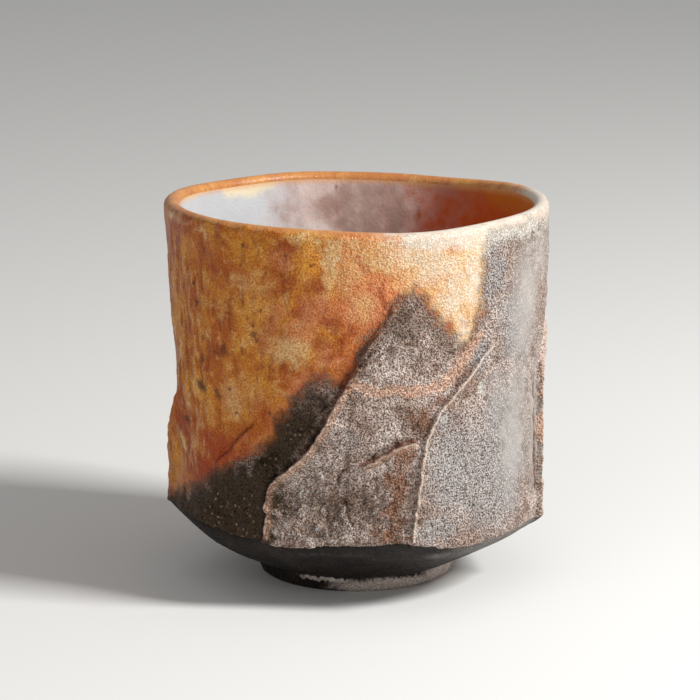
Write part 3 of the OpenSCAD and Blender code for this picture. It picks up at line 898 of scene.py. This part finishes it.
# Each painted mark, its colour, how broken its edge is, and how far it covers
GLAZE_COLOURS = [
    ("deep", "#a84300", 0.35, 0.9),
    ("rosy", "#dc9468", 0.4, 0.8),
    ("scorch", "#9c4412", 0.4, 0.85),
    ("pool", "#e6c28a", 0.4, 1.0),
    ("lip", "#bf8c62", 0.3, 0.55),
    ("cream", "#d6d2c8", 0.4, 0.95),
    ("spot", "#4a220e", 0.2, 0.85),
]
ASH_COLOURS = [
    ("silver", "#b9b5b3", 0.5, 0.85),
    ("rust", "#96603b", 0.6, 0.75),
    ("calm", "#a5a19c", 0.6, 0.7),
    ("soot", "#4c3923", 0.4, 1.0),
    ("blush", "#e2b79d", 0.5, 0.85),
    ("lip", "#c99a70", 0.3, 0.5),
    ("cream", "#d6d2c8", 0.4, 0.95),
    ("spot", "#1d1815", 0.2, 0.8),
]
LINER_COLOURS = [
    ("pale", "#b9bdbf", 0.5, 0.92),
    ("cream", "#dccfae", 0.6, 0.9),
    ("spot", "#7a4433", 0.5, 0.85),
    ("blaze", "#b64600", 0.4, 1.0),
    ("amber", "#be6405", 0.4, 0.8),
    ("lip", "#cf9660", 0.4, 0.7),
]
CLAY_COLOURS = [("paler_grey", "#8a847f", 0.6, 0.8), ("worn", "#ead8cd", 0.7, 0.85)]
GRAIN = 0.38  # size of the grit's grains, which the glaze shows like a pear's skin
CRUMB_GAP = 1.5  # from one crumb of half-melted ash to the next, low on the wall
WHITE = "#ffffff"


def amber_glaze(tree, clouds, halo, evened):
    """Satin amber that pales where it lies thick and reddens where it is thin."""
    middling = clouds["middling"]
    glaze = lay(tree, "#b8640a", "#dc9c34", step(tree, clouds["broad"], 0.35, 0.65))
    glaze = lay(tree, glaze, "#8a3a02", step(tree, clouds["tall"], 0.5, 0.7, 0, 0.75))
    glaze = lay(tree, glaze, "#e8ba70", step(tree, middling, 0.5, 0.72, 0, 0.7))
    glaze = lay(tree, glaze, "#ad5a24", step(tree, middling, 0.45, 0.28, 0, 0.6))
    glaze = lay(tree, glaze, "#c27045", times(tree, halo, 0.6))
    glaze = lay_marks(tree, glaze, GLAZE_COLOURS, (middling, clouds["fine"]), 0, 1.05)
    # Painted shade in the hollows between the grit's grains, less where the glaze lies smooth
    return lay(tree, glaze, lay(tree, "#dcb489", WHITE, evened), 1.0, "MULTIPLY")


def grey_crust(tree, clouds, thin_ash, gritty, evened):
    """Dull grey ash of fine grain, browner where it lies thin and with warm specks."""
    middling, fine = clouds["middling"], clouds["fine"]
    crust = lay(tree, "#b09a8d", "#dccdc4", step(tree, clouds["broad"], 0.35, 0.65))
    crust = lay(tree, crust, "#84695a", step(tree, middling, 0.48, 0.72, 0, 0.8))
    crust = lay(tree, crust, "#66513f", times(tree, thin_ash, 0.55))
    warm = times(tree, step(tree, fine, 0.52, 0.64, 0, 0.32), gritty)
    crust = lay(tree, crust, "#a8694a", warm)
    crust = lay_marks(tree, crust, ASH_COLOURS, (middling, fine))
    # Painted shade in the hollows between the grit's grains, less where the ash lies smooth
    return lay(tree, crust, lay(tree, "#7d6b5e", WHITE, evened), 1.0, "MULTIPLY")


def fired_skin(name):
    """Feldspar glaze and melted wood ash on gritty stoneware, as one fired skin.

    Both show the clay's grit as small bumps, and some grains of the ash have a glassy glint.
    The border between the two is painted, so that it can wander over the seam of the coats.
    """
    material, tree, shader, where = start_material(name, 0.5)
    middling, fine = uneven(tree, where, 2.6, 5), uneven(tree, where, 1.1, 3)
    grit = uneven(tree, where, GRAIN, 1.5, roughness=0.6)
    clouds = {"broad": uneven(tree, where, 9, 4), "middling": middling, "fine": fine,
              "tall": uneven(tree, where, 2.2, 3, stretch=4)}
    pair = (middling, fine)
    grain = step(tree, grit, 0.34, 0.64)
    cells = add(tree, "TexVoronoi", {"Vector": where, "Scale": 1000 / CRUMB_GAP})
    crumb = times(tree, step(tree, cells, 0.34, 0.1),
                  ragged(tree, "crumbs", (fine,), 1.6, 0.1, 0.5))

    edge = painted(tree, "ash")
    for cloudy, spread in ((middling, 3.0), (fine, 2.5), (grit, 4.5)):
        edge = maths(tree, "MULTIPLY_ADD", maths(tree, "SUBTRACT", cloudy, 0.5), spread, edge)
    on_ash = step(tree, edge, -1.6, 1.6)
    halo = step(tree, edge, -4.5, -0.4)
    thin_ash = step(tree, edge, 5.5, 0.2)
    calm = painted(tree, "calm")
    smooth = maths(tree, "MAXIMUM", calm, painted(tree, "lip"))
    for mark, share in (("cream", 0.7), ("blush", 0.4)):
        smooth = maths(tree, "MAXIMUM", smooth, times(tree, painted(tree, mark), share))
    smooth = times(tree, smooth, 0.7)
    evened = maths(tree, "MAXIMUM", grain, smooth)
    gritty = step(tree, smooth, 0.1, 0.75, 1, 0.25)

    crust = grey_crust(tree, clouds, thin_ash, gritty, evened)
    # Pale tan crumbs of ash, made paler as a painted highlight on their tops
    crust = lay(tree, crust, "#d6b190", times(tree, crumb, 0.8))
    skin = lay(tree, amber_glaze(tree, clouds, halo, evened), crust, on_ash)
    # Painted shade on the left-facing cliffs of the ridges and lips, and in the cracks beside them
    skin = lay(tree, skin, "#c08a6c", ragged(tree, "cliff", pair, 0.7), "MULTIPLY")
    skin = lay(tree, skin, "#b39c8b", ragged(tree, "crevice_shade", pair, 0.5), "MULTIPLY")
    # Pale along the crests: pale torn clay, and a painted highlight where the crest meets the light
    crest = ragged(tree, "crest", pair, 1.2, 0.3, 0.9)
    skin = lay(tree, skin, "#dcc4b2", times(tree, crest, 0.75))

    glassy = times(tree, step(tree, grit, 0.6, 0.7), on_ash)
    rough = maths(tree, "SUBTRACT", step(tree, on_ash, 0, 1, 0.32, 0.55),
                  times(tree, glassy, 0.22))
    rough = maths(tree, "MULTIPLY_ADD", calm, 0.2, rough)
    height = maths(tree, "ADD", grit, times(tree, fine, 1.2))
    height = maths(tree, "MULTIPLY_ADD", crumb, 1.5, height)
    rise = times(tree, gritty, step(tree, on_ash, 0, 1, 0.55, 1.15))
    finish_material(tree, shader, skin, rough, times(tree, height, rise), 0.65)
    return material


def dark_shaded_clay(name):
    """Bare stoneware, trimmed with a knife: dark brown, painted near-black as shade, paler where
    worn.
    """
    material, tree, shader, where = start_material(name, 0.55)
    broad, fine = uneven(tree, where, 6, 4), uneven(tree, where, 0.7, 4)
    tips = step(tree, uneven(tree, where, GRAIN, 1.5, roughness=0.6), 0.36, 0.64)
    # Dark brown clay, painted darker still as the shade under the cup
    skin = lay(tree, "#130b07", "#2a1e17", step(tree, broad, 0.35, 0.7))
    skin = lay_marks(tree, skin, CLAY_COLOURS, (broad, fine))
    # Painted shade in the hollows between the grains
    skin = lay(tree, skin, "#0d0805", step(tree, tips, 0.5, 0.05, 0, 0.45))
    skin = lay(tree, skin, "#7f736b", step(tree, fine, 0.6, 0.78, 0, 0.35))
    rough = step(tree, fine, 0.3, 0.7, 0.42, 0.75)
    finish_material(tree, shader, skin, rough, maths(tree, "ADD", tips, fine), 0.22)
    return material


def poured_glaze(name):
    """Glaze poured in and out of the cup: satin, milky on one side and burnt on the other."""
    material, tree, shader, where = start_material(name, 0.4)
    broad, middling = uneven(tree, where, 8, 4), uneven(tree, where, 2.4, 4)
    tall = uneven(tree, where, 5, 3, stretch=2.5)
    inner = lay(tree, "#9e8075", "#c9b3aa", step(tree, broad, 0.35, 0.66))
    inner = lay(tree, inner, "#986a58", step(tree, tall, 0.5, 0.76, 0, 0.6))
    inner = lay(tree, inner, "#8d8480", step(tree, middling, 0.55, 0.8, 0, 0.5))
    inner = lay_marks(tree, inner, LINER_COLOURS, (broad, middling))
    rough = maths(tree, "ADD", step(tree, middling, 0.3, 0.7, 0.3, 0.5),
                  times(tree, painted(tree, "blaze"), 0.35))
    finish_material(tree, shader, inner, rough, uneven(tree, where, 0.7, 3), 0.1)
    return material


ash_crust = fired_skin("melted_wood_ash_crust")
flame_glaze = fired_skin("flame_marked_feldspar_glaze")
bare_clay = dark_shaded_clay("dark_bare_stoneware_with_painted_shade")
liner_glaze = poured_glaze("poured_satin_glaze")

# --- The pieces ---

BEHIND_ASH = section([(1, DEEP_FROM, 2)], SKIN_T) + [(R - COAT_T, 0)]
BEHIND_FLAME = section([(DEEP_TO, 1, 2)], SKIN_T)
BEHIND_LINER = [(3, 4, 2), (4, 5, 2), (5, 6, 1)]

ash = throw("ash_crust_skin", section([(0, 1, 28)]) + BEHIND_ASH)
flame = throw("flame_glaze_skin", section([(1, 2, 24), (2, 3, 3)])
              + [(R - COAT_T, 3 * TUBE_STEP)] + BEHIND_FLAME)
liner = throw("poured_liner", section([(6, 5, 2), (5, 4, 6), (4, 3, 8)])
              + section(BEHIND_LINER, COAT_T), closed=False)
clay = throw("faceted_clay_body",
             section([(-4, -3, 3), (-3, -2, 1), (-2, -1, 1), (-1, 0, 14)], COAT_T)
             + BEHIND_ASH[-2::-1] + BEHIND_FLAME[-2::-1]
             + section([(2, 3, 1)] + BEHIND_LINER, COAT_T), closed=False)
for piece, relief in ((ash, wall_relief), (flame, wall_relief), (liner, liner_relief),
                      (clay, trimmed_relief)):
    wrap(piece, relief)



def turn_foot():
    """The foot ring, crumbled on its outside but for its edges against table and body."""
    base_r = FOOT_R - FOOT_DRAFT
    ring = throw("turned_foot_ring", [
        (FOOT_INNER_R, FOOT_H), (FOOT_INNER_R, FOOT_EDGE), (FOOT_INNER_R + FOOT_EDGE, 0),
        (base_r - FOOT_EDGE, 0), (base_r, FOOT_EDGE), (mix(base_r, FOOT_R, 0.5), FOOT_H / 2),
        (FOOT_R, FOOT_H)])
    angle, r, z = turned(points_of(ring))
    outside = soft((r - FOOT_INNER_R - 1) / 2)
    crumbled = 0.35 * cloud(angle, z, 1.3, 1.1, 43) + 0.3 * cloud(angle, z, 4, 3, 44)
    r = r + outside * soft((z - 0.1) / 0.5) * soft((3.3 - z) / 0.5) * crumbled
    put_points(ring, round_axis(r, angle, z))
    return ring


foot = turn_foot()

PIECES = (
    (ash, "ash_crust", "ash_crust", ash_crust, wall_marks),
    (flame, "flame_side_glaze", "flame_glaze", flame_glaze, wall_marks),
    (liner, "liner_glaze", "liner_glaze", liner_glaze, liner_marks),
    (clay, "thrown_body", "stoneware_clay", bare_clay, clay_marks),
    (foot, "foot_ring", "stoneware_clay", bare_clay, clay_marks),
)
for piece, node, slot, material, marks in PIECES:
    start_edit(piece)
    bpy.ops.mesh.remove_doubles(threshold=0.002 * MM)
    bpy.ops.mesh.normals_make_consistent(inside=False)
    bpy.ops.object.mode_set(mode="OBJECT")
    bpy.ops.object.shade_smooth_by_angle(angle=math.radians(55))
    paint(piece, marks)
    piece.data.materials.append(material)
    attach(piece, "root")
    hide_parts(node)

# --- Floor, light and camera ---

FLOOR_R, SKY_STRENGTH = 4, 0.38  # the floor's radius is in metres
scene = bpy.context.scene

bpy.ops.object.select_all(action="DESELECT")
bpy.ops.mesh.primitive_circle_add(vertices=96, radius=FLOOR_R, fill_type="NGON")
floor = bpy.context.object
floor.name = "floor"
floor_paint, _, floor_shader, _ = start_material("pale_matt_backdrop", 0.9, ior=1.45, specular=0.5)
floor_shader.inputs["Base Color"].default_value = linear("#dfdedb")
floor.data.materials.append(floor_paint)

world = bpy.data.worlds.new("studio")
scene.world = world
world.use_nodes = True
sky = world.node_tree.nodes["Background"]
sky.inputs["Color"].default_value = linear("#fbfbfb")
sky.inputs["Strength"].default_value = SKY_STRENGTH


def soft_lamp(name, azimuth, elevation, distance, size, power):
    """A square lamp that looks at the middle of the cup; distance and size are metres."""
    lamp = bpy.data.lights.new(name, "AREA")
    lamp.size, lamp.energy = size, power
    obj = bpy.data.objects.new(name, lamp)
    scene.collection.objects.link(obj)
    a, up = math.radians(azimuth), math.radians(elevation)
    away = Vector((math.cos(a) * math.cos(up), math.sin(a) * math.cos(up), math.sin(up)))
    obj.location = away * distance + Vector((0, 0, CUP_H / 2 * MM))
    obj.rotation_euler = away.to_track_quat("Z", "Y").to_euler()


soft_lamp("window_on_the_right", 338, 38, 0.9, 0.22, 11)
soft_lamp("reflector_in_front", 240, 25, 1.0, 0.8, 1.2)

CAMERA_DISTANCE, CAMERA_DOWN = 750.0, math.radians(12.47)
CAMERA_AIM = np.array([AXIS[0] - 1.48, AXIS[1], 49.6])
FOCAL_PIXELS, FRAME_PIXELS, SENSOR = 3378, 700, 36
camera_data = bpy.data.cameras.new("camera")
camera_data.sensor_width = SENSOR
camera_data.lens = FOCAL_PIXELS / FRAME_PIXELS * SENSOR
camera = bpy.data.objects.new("camera", camera_data)
scene.collection.objects.link(camera)
back = np.array([0, -math.cos(CAMERA_DOWN), math.sin(CAMERA_DOWN)]) * CAMERA_DISTANCE
camera.location = Vector((CAMERA_AIM + back) * MM)
camera.rotation_euler = (math.pi / 2 - CAMERA_DOWN, 0, 0)
scene.camera = camera

scene.view_settings.view_transform = "Standard"
